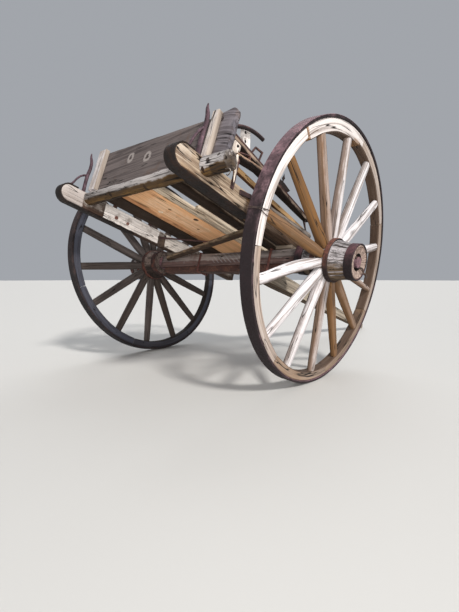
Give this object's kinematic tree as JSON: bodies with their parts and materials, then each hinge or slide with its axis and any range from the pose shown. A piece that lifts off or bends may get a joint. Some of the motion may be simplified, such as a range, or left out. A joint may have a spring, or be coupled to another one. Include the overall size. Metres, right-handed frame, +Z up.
{
  "type": "two-wheeled cart",
  "caption": "Open two-wheeled wooden cart with dished-out spoked wheels, a planked bed on sills, a tailboard on a log and a central pole resting on the ground.",
  "frame": {"origin": "on the ground, at the middle of the cart's whole length and width", "axes": "+X the way the cart is drawn, along its whole length; +Y to its left; +Z up"},
  "size_m": [3.2322, 1.9748, 1.3737],
  "materials": {
    "axle_bar": "rusty",
    "axle_iron": "rusty",
    "axle_wood": "weathered",
    "bleached_batten": "weathered",
    "bleached_felloe": "weathered",
    "bleached_sill": "weathered",
    "bleached_spoke": "weathered",
    "cracked_nave": "cracked",
    "dark_wood": "weathered",
    "golden_rail": "weathered",
    "grey_log": "weathered",
    "grey_pole": "weathered",
    "grey_rail": "weathered",
    "pale_strip": "weathered",
    "rusty_band": "rusty",
    "rusty_iron": "rusty",
    "rusty_tyre": "rusty",
    "tan_plank": "weathered",
    "weathered_board": "weathered"
  },
  "bodies": {
    "cart": {"axle_arm_left": "axle_iron", "axle_arm_right": "axle_iron", "axle_clips": "rusty_iron", "axle_timber": "axle_wood", "axle_underbar": "axle_bar", "bent_bar": "rusty_iron", "bolster_blocks": "axle_wood", "cross_members": "dark_wood", "cross_pole": "grey_pole", "flat_iron": "rusty_iron", "floor_cleat": "rusty_iron", "floor_plank_dark": "dark_wood", "floor_plank_left": "dark_wood", "floor_plank_right": "dark_wood", "floor_plank_wide": "tan_plank", "floor_strip_narrow": "pale_strip", "floor_strip_pale": "pale_strip", "forked_iron_left": "rusty_iron", "forked_iron_right": "rusty_iron", "linchpin_left": "axle_iron", "linchpin_right": "axle_iron", "loose_pole": "grey_pole", "lower_rail_left": "golden_rail", "lower_rail_right": "golden_rail", "pole": "grey_pole", "rail_block": "bleached_batten", "rail_bracket": "rusty_iron", "rail_cap_left": "rusty_iron", "rail_cap_right": "rusty_iron", "rail_hoop": "rusty_iron", "rail_irons_left": "rusty_iron", "rail_irons_right": "rusty_iron", "rail_post": "bleached_batten", "rave_board": "dark_wood", "rear_log": "grey_log", "rear_stake": "bleached_batten", "side_sill_left": "bleached_sill", "side_sill_right": "bleached_sill", "sill_shoe_left": "rusty_iron", "sill_shoe_right": "rusty_iron", "tailboard": "weathered_board", "tailboard_battens": "bleached_batten", "upper_rail_left": "grey_rail", "upper_rail_right": "grey_rail"},
    "wheel_left": {"axle_box_left": "axle_iron", "felloes_left": "bleached_felloe", "nave_bands_left": "rusty_band", "nave_left": "cracked_nave", "spokes_left": "bleached_spoke", "tyre_left": "rusty_tyre"},
    "wheel_right": {"axle_box_right": "axle_iron", "felloes_right": "bleached_felloe", "nave_bands_right": "rusty_band", "nave_right": "cracked_nave", "spokes_right": "bleached_spoke", "tyre_right": "rusty_tyre"}
  },
  "joints": [
    {"name": "left_wheel_turn", "type": "hinge", "parent": "cart", "child": "wheel_left", "pos_m": [-0.7587, 0.779, 0.68556], "axis": [0, 0.9947, -0.1028], "continuous": true},
    {"name": "right_wheel_turn", "type": "hinge", "parent": "cart", "child": "wheel_right", "pos_m": [-0.7587, -0.779, 0.68556], "axis": [0, 0.9947, 0.1028], "continuous": true}
  ]
}
